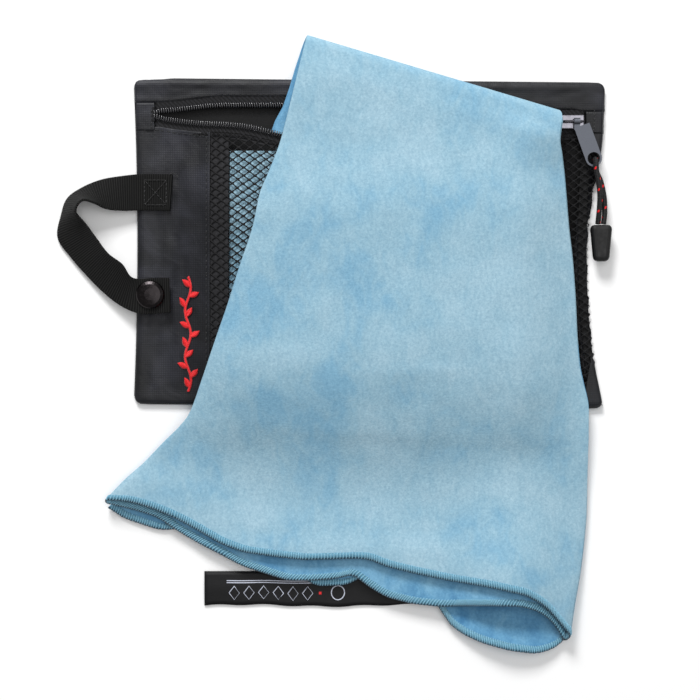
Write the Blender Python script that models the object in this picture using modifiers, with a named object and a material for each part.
"""Quick dry towel half drawn out of its zip pouch, lying on its back on a flat surface.

Metres, +Z up. The origin is the middle of the pouch's back face, on the surface it rests on.
+Y runs toward the zip and +X toward the slider. The sizes below are in millimetres.
"""

import math

import bmesh
import bpy
from mathutils import Vector

MM = 0.001
GAP = 0.3

# Pouch
POUCH_W = 244.0
POUCH_H = 169.0
WAIST = 7.5
CLOTH = 0.6
EDGE_Z = 3.2
SWELL = 14.0
SEAM_W = 5.0
SIDE_PANEL_W = 38.5
LEFT = -POUCH_W / 2
RIGHT = POUCH_W / 2
FILL_LEFT = LEFT + 10.0
FILL_RIGHT = RIGHT - 30.0

# Zip
TAPE_T = 0.35
TAPE_W = 9.0
COIL_R = 0.8
MOUTH_Y = POUCH_H / 2 - 20.9
LIP_DROP = 9.0
SLIDER_L = 12.4
SLIDER_W = 7.4
SLIDER_X = RIGHT - 16.0
BAR_Z = 7.7
BAR_R = 0.6

# Pull
TAB_L = 26.0
TAB_W = 8.6
TAB_T = 1.2
TAB_YAW = math.radians(20.0)
KNUCKLE_X = 2.2
KNUCKLE_W = 3.2
EYE_R = 3.3
CORD_R = 1.4
END_L = 19.0
END_W = 11.6
END_T = 7.0

# Towel
PLY = 4.0
TOWEL_DROP = 264.6
FOLD_R = 4.5
HEM_BOW = 9.0
HEM_W = 3.5
HEM_T = 1.4

# Handle
WEB_W = 19.0
WEB_T = 1.4
SNAP_X = LEFT + 7.5
SNAP_Y = -27.0
CAP_R = 7.4
SOCKET_R = 6.0
POST_R = 2.0

# Label
LABEL_L = 120.0
LABEL_W = 18.0
LABEL_T = 0.9
LABEL_X = 38.0


def clear_scene():
    for obj in list(bpy.data.objects):
        bpy.data.objects.remove(obj, do_unlink=True)


def material(name, colour, roughness, metallic=0.0):
    mat = bpy.data.materials.new(name)
    mat.use_nodes = True
    shader = mat.node_tree.nodes["Principled BSDF"]
    shader.inputs["Base Color"].default_value = (*colour, 1.0)
    shader.inputs["Roughness"].default_value = roughness
    shader.inputs["Metallic"].default_value = metallic
    return mat


def link(name, data, mat, parent=None):
    obj = bpy.data.objects.new(name, data)
    bpy.context.scene.collection.objects.link(obj)
    data.materials.append(mat)
    obj.parent = parent
    return obj


def empty(name, at):
    obj = bpy.data.objects.new(name, None)
    bpy.context.scene.collection.objects.link(obj)
    obj.location = Vector(at) * MM
    return obj


def smooth(t):
    t = min(max(t, 0.0), 1.0)
    return t * t * (3 - 2 * t)


def lerp(a, b, t):
    return a + (b - a) * t


def through(points, t):
    """A smooth curve through points, at 0 to 1 from the first to the last."""
    n = len(points) - 1
    i = min(int(t * n), n - 1)
    f = t * n - i
    p0 = Vector(points[max(i - 1, 0)])
    p1 = Vector(points[i])
    p2 = Vector(points[i + 1])
    p3 = Vector(points[min(i + 2, n)])
    a = (p2 - p0) / 2
    b = (p3 - p1) / 2
    return (
        p1 * (2 * f**3 - 3 * f**2 + 1)
        + a * (f**3 - 2 * f**2 + f)
        + p2 * (3 * f**2 - 2 * f**3)
        + b * (f**3 - f**2)
    )


def finish(bm, name, mat, parent=None, smooth_faces=True):
    bmesh.ops.recalc_face_normals(bm, faces=bm.faces[:])
    for face in bm.faces:
        face.smooth = smooth_faces
    mesh = bpy.data.meshes.new(name)
    bm.to_mesh(mesh)
    bm.free()
    return link(name, mesh, mat, parent)


def grid(cols, rows, place):
    bm = bmesh.new()
    bmesh.ops.create_grid(bm, x_segments=cols, y_segments=rows, size=0.5)
    for vert in bm.verts:
        vert.co = Vector(place(vert.co.x + 0.5, vert.co.y + 0.5)) * MM
    return bm


def layer(name, mat, cols, rows, place, depth):
    """A sheet whose upper face is set out by place(u, v) and whose lower face is depth(x, y) below it."""
    bm = grid(cols, rows, place)
    made = bmesh.ops.extrude_face_region(bm, geom=bm.faces[:])["geom"]
    for vert in made:
        if isinstance(vert, bmesh.types.BMVert):
            drop = depth(vert.co.x / MM, vert.co.y / MM) if callable(depth) else depth
            vert.co.z -= drop * MM
    return finish(bm, name, mat)


def ribbon(name, mat, cols, rows, place, thickness, parent=None):
    """A sheet of one thickness about a middle face that may turn over on itself."""
    obj = finish(grid(cols, rows, place), name, mat, parent)
    solid = obj.modifiers.new("Thickness", "SOLIDIFY")
    solid.thickness = thickness * MM
    solid.offset = 0.0
    return obj


def tube(name, mat, points, radius, parent=None, resolution=2):
    curve = bpy.data.curves.new(name, "CURVE")
    curve.dimensions = "3D"
    curve.bevel_depth = radius * MM
    curve.bevel_resolution = resolution
    curve.use_fill_caps = True
    spline = curve.splines.new("POLY")
    spline.points.add(len(points) - 1)
    for spot, point in zip(spline.points, points):
        spot.co = (*(Vector(point) * MM), 1.0)
    spline.use_smooth = True
    return link(name, curve, mat, parent)


def block(bm, size, at):
    made = bmesh.ops.create_cube(bm, size=1.0)["verts"]
    bmesh.ops.scale(bm, vec=Vector(size) * MM, verts=made)
    bmesh.ops.translate(bm, vec=Vector(at) * MM, verts=made)
    return made


def bevel(obj, width, segments=2):
    mod = obj.modifiers.new("Bevel", "BEVEL")
    mod.width = width * MM
    mod.segments = segments
    mod.limit_method = "ANGLE"
    mod.harden_normals = False
    return obj


def turned(name, mat, profile, at, parent=None, steps=32):
    """A solid of revolution from a closed profile of (radius, height) that runs top to bottom."""
    mesh = bpy.data.meshes.new(name)
    count = len(profile)
    edges = [(i, i + 1) for i in range(count - 1)]
    if profile[0][0] > 0:
        edges.append((count - 1, 0))
    mesh.from_pydata([(r * MM, 0.0, z * MM) for r, z in profile], edges, [])
    obj = link(name, mesh, mat, parent)
    obj.location = Vector(at) * MM
    screw = obj.modifiers.new("Screw", "SCREW")
    screw.axis = "Z"
    screw.steps = steps
    screw.render_steps = steps
    screw.use_merge_vertices = True
    screw.merge_threshold = 0.00001
    screw.use_smooth_shade = True
    return obj


# The pouch's outline and the height of its front.


def edge_left(y):
    return -POUCH_W / 2 + 2.0 * (1 - (2 * y / POUCH_H) ** 2)


def edge_right(y):
    return POUCH_W / 2 - WAIST * (1 - min(abs(2 * y / POUCH_H), 1.0) ** 2.4)


def edge_top(x):
    return POUCH_H / 2 - 1.2 * (2 * x / POUCH_W)


def edge_bottom(x):
    return -POUCH_H / 2 - 1.5 * (2 * x / POUCH_W)


def front_height(x, y):
    """The upper face of the pouch's front, from flat at its edges to full over the packed towel."""
    across = smooth((x - FILL_LEFT) / 52) * smooth((FILL_RIGHT - x) / 24)
    low = POUCH_H / 2 + y - 1.5
    along = smooth(low / 26) * (1 - 0.42 * smooth((y - 12) / 44))
    return EDGE_Z + SWELL * across * along


def lip(x):
    """Where the lower row of teeth runs: pulled down where the towel comes out."""
    t = min(max((x + 110) / 205, 0.0), 1.0)
    sag = LIP_DROP * math.sin(math.pi * t) ** 0.8
    joined = smooth((x - SLIDER_X - 1) / 4)
    return MOUTH_Y - 1.8 + 0.8 * joined - sag + 4.0 * smooth((-80 - x) / 30)


def upper_teeth(x):
    bow = 7.0 * (1 - smooth((x + 40) / 145))
    joined = smooth((x - SLIDER_X - 1) / 4)
    return MOUTH_Y + 1.8 - 0.8 * joined + bow - 3.0 * smooth((-75 - x) / 38)


def on_front(x, y, above=0.0):
    return (x, y, front_height(x, y) + above)


def drape_floor(x, y):
    """The lower face of the towel where it lies over the pouch and then on the surface."""
    along = smooth((POUCH_H / 2 + y + 14) / 30) * (1 - 0.3 * smooth((y - 12) / 44))
    across = smooth((x - FILL_LEFT) / 52) * smooth((RIGHT - 4 - x) / 44)
    over = EDGE_Z + 2.0 + SWELL * across * along
    off = smooth((-y - POUCH_H / 2 - 4) / 16)
    lift = 4.5 * smooth((x - SLIDER_X + 30) / 12) * smooth((y - MOUTH_Y + 13.6) / 8)
    return lerp(over, LABEL_T + 3 * GAP, off) + lift


# Sewn parts of the pouch.


def make_pouch(cloth):
    def whole(u, v):
        y = lerp(edge_bottom(0), edge_top(0), v)
        x = lerp(edge_left(y), edge_right(y), u)
        y = lerp(edge_bottom(x), edge_top(x), v)
        return (x, y, CLOTH)

    layer("pouch_back_panel", cloth["nylon"], 4, 14, whole, CLOTH)

    top_of_front = -5.0

    def side(u, v):
        y0 = lerp(edge_bottom(-100), MOUTH_Y + top_of_front, v)
        x = lerp(edge_left(y0), -POUCH_W / 2 + SIDE_PANEL_W, u)
        y = lerp(edge_bottom(x), lip(x) + top_of_front, v)
        return on_front(x, y)

    layer("pouch_side_panel", cloth["nylon"], 10, 16, side, CLOTH)

    def mesh(u, v):
        y0 = lerp(edge_bottom(100), MOUTH_Y + top_of_front, v)
        x = lerp(-POUCH_W / 2 + SIDE_PANEL_W + GAP, edge_right(y0), u)
        y = lerp(edge_bottom(x), lip(x) + top_of_front, v)
        return on_front(x, y)

    layer("pouch_mesh_panel", cloth["mesh"], 28, 16, mesh, CLOTH)

    def band(u, v):
        x = lerp(edge_left(80), edge_right(80), u)
        y = lerp(upper_teeth(x) + 4.2, edge_top(x), v)
        return (x, y, EDGE_Z)

    layer("pouch_top_band", cloth["nylon"], 16, 2, band, CLOTH)

    seam_z = CLOTH + GAP + 0.8

    def seam_left(u, v):
        y = lerp(edge_bottom(-120) + SEAM_W + GAP, edge_top(-120) - 1, v)
        return (edge_left(y) + lerp(0.6, SEAM_W, u), y, seam_z)

    def seam_right(u, v):
        y = lerp(edge_bottom(120) + SEAM_W + GAP, MOUTH_Y - SLIDER_W / 2 - 2 * GAP, v)
        return (edge_right(y) - lerp(SEAM_W, 0.6, u), y, seam_z)

    def seam_bottom(u, v):
        x = lerp(edge_left(-84) + 1, edge_right(-84) - 1, u)
        return (x, edge_bottom(x) + lerp(0.6, SEAM_W, v), seam_z)

    layer("side_seam_left", cloth["binding"], 1, 8, seam_left, 0.8)
    layer("side_seam_right", cloth["binding"], 1, 12, seam_right, 0.8)
    layer("bottom_seam", cloth["binding"], 8, 1, seam_bottom, 0.8)

    def end_facing(u, v):
        x = lerp(LEFT + 2.2, LEFT + SEAM_W + 1.8, u)
        low = lip(x) + top_of_front + GAP
        high = upper_teeth(x) + 4.2 - GAP
        return (x, lerp(low, high, v), EDGE_Z)

    layer("zip_end_facing", cloth["nylon"], 3, 4, end_facing, CLOTH)

    def tape_under_join(u, v):
        x = -POUCH_W / 2 + SIDE_PANEL_W + lerp(-4, 4, u)
        y = lerp(edge_bottom(x) + SEAM_W + 1, lip(x) - 13, v)
        return on_front(x, y, -CLOTH - 2 * GAP)

    layer("mesh_join_tape", cloth["binding"], 2, 14, tape_under_join, 0.5)

    def corner_top(u, v):
        y = lerp(44.0, MOUTH_Y - SLIDER_W / 2 - 1.5, v)
        x = edge_right(y) - lerp(lerp(1.5, 8.0, v), 0.3, u)
        return (x, y, EDGE_Z + GAP + 0.5)

    def corner_bottom(u, v):
        y = lerp(edge_bottom(120) + 0.5, -62.0, v)
        x = edge_right(y) - lerp(lerp(9.0, 1.5, v), 0.3, u)
        return (x, y, EDGE_Z + GAP + 0.5)

    layer("corner_facing_top", cloth["nylon"], 2, 4, corner_top, 0.5)
    layer("corner_facing_bottom", cloth["nylon"], 2, 4, corner_bottom, 0.5)


def make_zip(cloth, metal):
    tape_z = EDGE_Z - CLOTH - TAPE_T
    x0 = -POUCH_W / 2 + SEAM_W + 5
    x1 = POUCH_W / 2 - SEAM_W - 4

    def upper(u, v):
        x = lerp(x0, x1, u)
        y = upper_teeth(x) + lerp(-0.2, TAPE_W, v)
        return (x, y, tape_z)

    def lower(u, v):
        x = lerp(x0, x1, u)
        y = lip(x) + lerp(-TAPE_W, 0.2, v)
        return on_front(x, y, -CLOTH - TAPE_T)

    layer("zip_tape_upper", cloth["tape"], 24, 1, upper, TAPE_T)
    layer("zip_tape_lower", cloth["tape"], 40, 2, lower, TAPE_T)

    rise = GAP + COIL_R
    count = 64
    spots = [lerp(x0 + 1, x1 - 3.2, i / count) for i in range(count + 1)]
    top = [(x, upper_teeth(x) + 0.1, tape_z + rise) for x in spots]
    low = [on_front(x, lip(x) - 0.1, -CLOTH - TAPE_T + rise + 0.1) for x in spots]
    tube("zip_teeth_upper", metal["teeth"], top, COIL_R, resolution=1)
    tube("zip_teeth_lower", metal["teeth"], low, COIL_R, resolution=1)

    for name, x in (("zip_stop_left", x0 - 1.6), ("zip_stop_right", x1 - 1.2)):
        bm = bmesh.new()
        wide = 7.6 if x < 0 else 4.2
        block(bm, (1.6, wide, 1.4), (x, (upper_teeth(x) + lip(x)) / 2, tape_z + GAP + 0.7))
        bevel(finish(bm, name, metal["teeth"], smooth_faces=False), 0.3)


def make_slider(metal):
    """The body is two plates joined by a post, open at both sides for the tapes."""
    hub = empty("zip_slider_centre", (SLIDER_X, MOUTH_Y, 0))
    lower_z = CLOTH + GAP + 0.35
    upper_z = EDGE_Z + 1.75
    bm = bmesh.new()
    block(bm, (SLIDER_L, SLIDER_W, 0.7), (0, 0, lower_z))
    bevel(finish(bm, "slider_lower_plate", metal["gun"], hub, False), 0.3)
    post_x = -SLIDER_L / 2 + 0.9
    post_h = upper_z - 0.5 - (lower_z + 0.35) - 2 * 0.05
    bm = bmesh.new()
    block(bm, (1.2, 1.1, post_h), (post_x, 0, (upper_z - 0.5 + lower_z + 0.35) / 2))
    finish(bm, "slider_post", metal["gun"], hub, False)
    bm = bmesh.new()
    block(bm, (SLIDER_L, SLIDER_W, 1.0), (0, 0, upper_z))
    bevel(finish(bm, "slider_upper_plate", metal["gun"], hub, False), 0.45, 3)
    foot = upper_z + 0.5 + 0.05
    half = SLIDER_L / 2 - 0.9
    arch = [
        (-half, 0, foot),
        (-half, 0, BAR_Z - 1.2),
        (-half + 0.35, 0, BAR_Z - 0.35),
        (-half + 1.2, 0, BAR_Z),
        (half - 1.2, 0, BAR_Z),
        (half - 0.35, 0, BAR_Z - 0.35),
        (half, 0, BAR_Z - 1.2),
        (half, 0, foot),
    ]
    tube("slider_bridge", metal["gun"], arch, BAR_R, hub, 3)


def make_pull(metal, cloth):
    """The tab lies along local -Y from the bridge's bar; the cord loop hangs in its hole."""
    hinge = empty("tab_hinge", (SLIDER_X + KNUCKLE_X, MOUTH_Y, BAR_Z))
    bm = bmesh.new()
    side = Vector((math.cos(TAB_YAW), math.sin(TAB_YAW), 0))
    down = Vector((math.sin(TAB_YAW), -math.cos(TAB_YAW), 0))
    root = Vector((1.6, 0, 0))
    centre = root + down * (TAB_L - TAB_W / 2 - 1.0)
    eye = []
    rim = []
    turn = 28
    for i in range(turn):
        a = 2 * math.pi * i / turn
        way = side * math.cos(a) + down * math.sin(a)
        eye.append(centre + way * EYE_R)
        reach = TAB_W / 2
        if way.dot(down) < -0.1:
            up = (centre - root).length - 2.4
            reach = min(TAB_W / 2 / max(abs(way.dot(side)), 1e-6), up / -way.dot(down))
        rim.append(centre + way * reach)
    rings = []
    for z in (TAB_T / 2, -TAB_T / 2):
        rings.append([bm.verts.new((p + Vector((0, 0, z))) * MM) for p in rim])
        rings.append([bm.verts.new((p + Vector((0, 0, z))) * MM) for p in eye])
    for a, b in ((0, 1), (1, 3), (3, 2), (2, 0)):
        for i in range(turn):
            j = (i + 1) % turn
            bm.faces.new((rings[a][i], rings[a][j], rings[b][j], rings[b][i]))
    plate = finish(bm, "pull_tab", metal["tab"], hinge, False)

    hollow = BAR_R + 0.35
    outer = hollow + 0.8
    wide = KNUCKLE_W
    mesh = bpy.data.meshes.new("knuckle")
    bm = bmesh.new()
    steps = 24
    loops = []
    for x, r in ((-wide / 2, outer), (-wide / 2, hollow), (wide / 2, hollow), (wide / 2, outer)):
        ring = []
        for i in range(steps):
            a = 2 * math.pi * i / steps
            ring.append(bm.verts.new(Vector((x, r * math.cos(a), r * math.sin(a))) * MM))
        loops.append(ring)
    for a in range(4):
        for i in range(steps):
            j = (i + 1) % steps
            b = (a + 1) % 4
            bm.faces.new((loops[a][i], loops[a][j], loops[b][j], loops[b][i]))
    block(bm, (wide - 0.2, 3.4, TAB_T * 0.9), (0, -outer - 1.3, 0))
    bmesh.ops.recalc_face_normals(bm, faces=bm.faces[:])
    bm.to_mesh(mesh)
    bm.free()
    knuckle = link("knuckle", mesh, metal["tab"], hinge)
    helpers = bpy.data.collections.new("cutters")
    bpy.context.scene.collection.children.link(helpers)
    bpy.context.scene.collection.objects.unlink(knuckle)
    helpers.objects.link(knuckle)
    knuckle.hide_render = True
    knuckle.display_type = "WIRE"
    join = plate.modifiers.new("Knuckle", "BOOLEAN")
    join.operation = "UNION"
    join.solver = "EXACT"
    join.use_self = True
    join.object = knuckle
    bevel(plate, 0.2, 1)

    base = Vector((SLIDER_X + KNUCKLE_X, MOUTH_Y, BAR_Z))
    pivot = base + centre + down * (EYE_R + TAB_W / 2) / 2
    loop = [
        (0.6, -30.6, -1.2),
        (1.4, -23.5, 0.8),
        (1.6, -15.5, 2.3),
        (0.4, -8.0, 3.0),
        (-0.3, -4.0, 2.8),
        (-0.4, -1.2, 2.5),
        (-0.4, 1.3, 2.1),
        (-0.4, 2.5, 0.0),
        (-0.3, 1.3, -2.1),
        (-0.2, -1.2, -2.5),
        (0.6, -4.0, -2.8),
        (2.6, -9.0, -2.6),
        (4.4, -17.0, -2.2),
        (4.8, -25.0, -1.9),
        (4.0, -30.6, -1.2),
    ]
    path = [pivot + through(loop, i / 44) for i in range(45)]
    tube("pull_cord", cloth["cord"], path, CORD_R)

    mesh_end = bmesh.new()
    made = block(mesh_end, (END_W, END_L, END_T), (0, 0, 0))
    for vert in made:
        if vert.co.y < 0:
            vert.co.x *= 0.72
            vert.co.z *= 0.75
    end = finish(mesh_end, "pull_cord_end", cloth["rubber"], None)
    at = pivot + Vector((2.6, -30.6 - 2 * GAP - END_L / 2, -0.5))
    end.location = at * MM
    bevel(end, 2.4, 4)


def make_handle(cloth, metal):
    """Webbing from its sewn end out round the loop, then back to the snap."""
    outer = [
        (18.8, 36.0, 4.9),
        (10.0, 36.2, 4.6),
        (1.4, 36.2, 4.6),
        (-8.0, 35.2, 4.2),
        (-18.5, 33.4, 3.0),
        (-28.5, 29.4, 1.8),
        (-36.6, 23.6, 1.4),
        (-39.8, 15.0, 1.3),
        (-41.8, 3.2, 1.3),
        (-35.2, -6.8, 1.6),
        (-26.6, -16.6, 2.4),
        (-17.6, -25.6, 3.6),
        (-8.2, -32.8, 5.6),
        (-0.4, -36.0, 7.6),
    ]
    inner = [
        (17.4, 17.0, 5.1),
        (10.0, 17.2, 4.7),
        (1.4, 17.2, 4.8),
        (-7.0, 16.9, 6.4),
        (-15.0, 17.6, 9.0),
        (-21.0, 20.4, 13.6),
        (-27.0, 21.6, 16.4),
        (-30.4, 15.8, 16.6),
        (-25.8, 9.6, 11.0),
        (-20.4, 2.2, 10.0),
        (-14.4, -5.6, 11.0),
        (-7.0, -11.2, 11.0),
        (-3.2, -17.2, 10.6),
        (0.0, -19.4, 9.0),
    ]

    def loop(u, v):
        a = through(outer, v)
        b = through(inner, v)
        return a.lerp(b, u) + Vector((LEFT, 0, EDGE_Z - 3.2 + WEB_T / 2 - 0.7))

    ribbon("handle_webbing", cloth["webbing"], 4, 52, loop, WEB_T)

    seat = empty("snap_centre", (SNAP_X, SNAP_Y, 0))
    top = EDGE_Z + 4.6

    def tail(u, v):
        x = LEFT + lerp(0.7, 17.7, v)
        y = lerp(-36.9, -18.4, u) + lerp(0.6, 0.2, v)
        z = top + WEB_T / 2 + 0.6 * (1 - smooth(v * 3)) * (1 - u)
        return (x - SNAP_X, y - SNAP_Y, z)

    ribbon("handle_webbing_tail", cloth["webbing"], 3, 8, tail, WEB_T, seat)
    cap_z = top + WEB_T + 0.75
    cap = [
        (0.0, cap_z + 2.3),
        (3.0, cap_z + 2.2),
        (5.4, cap_z + 1.8),
        (6.8, cap_z + 1.2),
        (CAP_R, cap_z + 0.5),
        (CAP_R, cap_z),
        (0.0, cap_z),
    ]
    turned("snap_cap", metal["cap"], cap, (0, 0, 0), seat)
    under = top - GAP
    socket = [
        (SOCKET_R, under),
        (SOCKET_R, under - 1.8),
        (POST_R + GAP, under - 1.8),
        (POST_R + GAP, under),
    ]
    turned("snap_socket", metal["gun"], socket, (0, 0, 0), seat, 24)
    floor = EDGE_Z + GAP
    stud = [
        (0.0, floor + 3.0),
        (POST_R - 0.4, floor + 3.0),
        (POST_R, floor + 2.6),
        (POST_R, floor + 1.0),
        (SOCKET_R - 0.6, floor + 1.0),
        (SOCKET_R - 0.6, floor),
        (0.0, floor),
    ]
    turned("snap_stud", metal["gun"], stud, (SNAP_X, SNAP_Y, 0), None, 24)
    inside = EDGE_Z - CLOTH - GAP
    back = [(0.0, inside), (5.0, inside), (5.0, inside - 0.35), (0.0, inside - 0.35)]
    turned("snap_stud_back", metal["gun"], back, (SNAP_X, SNAP_Y, 0), None, 24)


def make_motif(cloth):
    def strip(u, v):
        y = lerp(-76.0, -17.0, v)
        x = LEFT + 26.8 + 2.2 * math.sin(v * math.pi * 4) + lerp(-2.4, 2.4, u)
        return on_front(x, y, GAP + 0.7)

    layer("motif_embroidery", cloth["red"], 2, 24, strip, 0.6)


# The towel, as three joined lengths of one folded cloth and its edging.


# Left edge from the pouch's middle and right edge from the slider, both measured down from the mouth.

LEFT_EDGE = [
    (-33.6, 37.9),
    (-38.4, 16.4),
    (-44.0, -6.6),
    (-52.6, -31.6),
    (-59.6, -56.6),
    (-67.5, -80.6),
    (-76.0, -105.6),
    (-85.0, -130.6),
    (-94.6, -153.6),
    (-112.0, -172.6),
    (-134.0, -192.6),
]
RIGHT_EDGE = [
    (-8.4, -2.1),
    (-8.6, -17.6),
    (-5.4, -39.6),
    (-3.4, -59.6),
    (-1.0, -81.6),
    (1.0, -109.6),
    (4.0, -133.6),
    (7.2, -159.6),
    (6.8, -193.6),
    (4.2, -227.6),
    (-3.6, -264.6),
]


def make_towel(cloth):
    def packed(u, v):
        x = lerp(-74.0, FILL_RIGHT - 12, u)
        y = lerp(-POUCH_H / 2 + 10.5, MOUTH_Y - 15.6, v)
        return on_front(x, y, -CLOTH - 4 * GAP)

    def packed_depth(x, y):
        return front_height(x, y) - 2 * CLOTH - 5 * GAP

    layer("towel_packed", cloth["towel"], 20, 14, packed, packed_depth)

    level = EDGE_Z + 1.6 + PLY / 2
    neck = [
        ((-48, -14.1), (-40, -14.1)),
        ((-49, -6.6), (-38, -6.6)),
        ((-48, 0.4), (-32, 1.0)),
        ((-44, 12.4), (-22, 3.0)),
        ((-39, 26.4), (-15, 0.8)),
    ]
    rows = []
    for a, b in neck:
        left = Vector((a[0], MOUTH_Y + a[1], level))
        right = Vector((SLIDER_X + b[0], MOUTH_Y + b[1], level))
        rows.append((left, right))
    under = (Vector((-35.2, MOUTH_Y + 35.9, level)), Vector((SLIDER_X - 14, MOUTH_Y - 1, level)))
    start_left = Vector((LEFT_EDGE[0][0], MOUTH_Y + LEFT_EDGE[0][1], level))
    start_right = Vector((SLIDER_X + RIGHT_EDGE[0][0], MOUTH_Y + RIGHT_EDGE[0][1], level))
    out = Vector((0.3, 0.95, 0.0))
    for i in range(7):
        a = math.pi * i / 6
        push = out * FOLD_R * 1.35 * math.sin(a)
        up = Vector((0, 0, FOLD_R * (1 - math.cos(a))))
        over = smooth(i / 6)
        left = under[0].lerp(start_left, over) + push + up
        right = under[1].lerp(start_right, over) + push + up
        rows.append((left, right))
    stretch = -TOWEL_DROP / RIGHT_EDGE[-1][1]
    lie = []
    for i in range(1, 41):
        a = through([(*p, 0) for p in LEFT_EDGE], i / 40)
        b = through([(*p, 0) for p in RIGHT_EDGE], i / 40)
        left = Vector((a.x, MOUTH_Y + a.y * stretch, 0))
        right = Vector((SLIDER_X + b.x, MOUTH_Y + b.y * stretch, 0))
        lie.append((left, right))
    rows += lie
    start_lie = len(rows) - len(lie)

    def place(u, v):
        k = round(v * (len(rows) - 1))
        left, right = rows[k]
        p = left.lerp(right, u)
        if k >= start_lie:
            edge = smooth((k - start_lie + 1) / 3)
            top = level + 2 * FOLD_R
            p.y -= HEM_BOW * math.sin(math.pi * u) * smooth((v - 0.65) / 0.35)
            p.z = lerp(top, drape_floor(p.x, p.y) + PLY / 2 + 0.4, edge)
        return p

    ribbon("towel_drape", cloth["towel"], 18, len(rows) - 1, place, PLY)

    def hem(step, rise):
        def strip(u, v):
            left, right = lie[-1]
            p = left.lerp(right, u)
            run = Vector((right.x - left.x, right.y - left.y)).normalized()
            away = Vector((run.y, -run.x))
            shift = step + lerp(HEM_W, 0, v)
            x = p.x + away.x * shift
            y = p.y + away.y * shift - HEM_BOW * math.sin(math.pi * u)
            return (x, y, LABEL_T + 3 * GAP + rise)

        return strip

    layer("towel_hem_upper", cloth["hem"], 24, 1, hem(0.8, PLY - 0.2), HEM_T)
    layer("towel_hem_lower", cloth["hem"], 24, 1, hem(4.6, HEM_T + 0.2), HEM_T)

    def label(u, v):
        x = lerp(LABEL_X - LABEL_L, LABEL_X, u)
        y = MOUTH_Y - TOWEL_DROP + 11.4 + lerp(0, LABEL_W, v) * lerp(1.0, 0.45, smooth((u - 0.55) / 0.45))
        return (x, y + 1.2 * math.sin(u * 5), GAP + LABEL_T)

    layer("label_ribbon", cloth["label"], 14, 2, label, LABEL_T)


def main():
    clear_scene()
    cloth = {
        "nylon": material("black_nylon", (0.03, 0.03, 0.035), 0.6),
        "mesh": material("black_mesh", (0.015, 0.015, 0.018), 0.7),
        "binding": material("seam_cloth", (0.02, 0.02, 0.022), 0.75),
        "tape": material("zip_tape", (0.018, 0.018, 0.02), 0.8),
        "webbing": material("black_webbing", (0.012, 0.012, 0.012), 0.7),
        "towel": material("blue_towel", (0.31, 0.5, 0.62), 0.9),
        "hem": material("hem_thread", (0.16, 0.4, 0.54), 0.85),
        "red": material("red_thread", (0.7, 0.01, 0.02), 0.6),
        "label": material("label_satin", (0.01, 0.01, 0.012), 0.4),
        "cord": material("pull_cord_braid", (0.012, 0.012, 0.013), 0.8),
        "rubber": material("moulded_end", (0.015, 0.015, 0.016), 0.55),
    }
    metal = {
        "gun": material("gunmetal", (0.1, 0.1, 0.11), 0.2, 1.0),
        "tab": material("tab_metal", (0.16, 0.16, 0.17), 0.35, 1.0),
        "teeth": material("zip_coil", (0.02, 0.02, 0.022), 0.4),
        "cap": material("snap_cap_metal", (0.03, 0.027, 0.028), 0.25, 1.0),
    }
    make_pouch(cloth)
    make_zip(cloth, metal)
    make_slider(metal)
    make_pull(metal, cloth)
    make_handle(cloth, metal)
    make_motif(cloth)
    make_towel(cloth)


main()
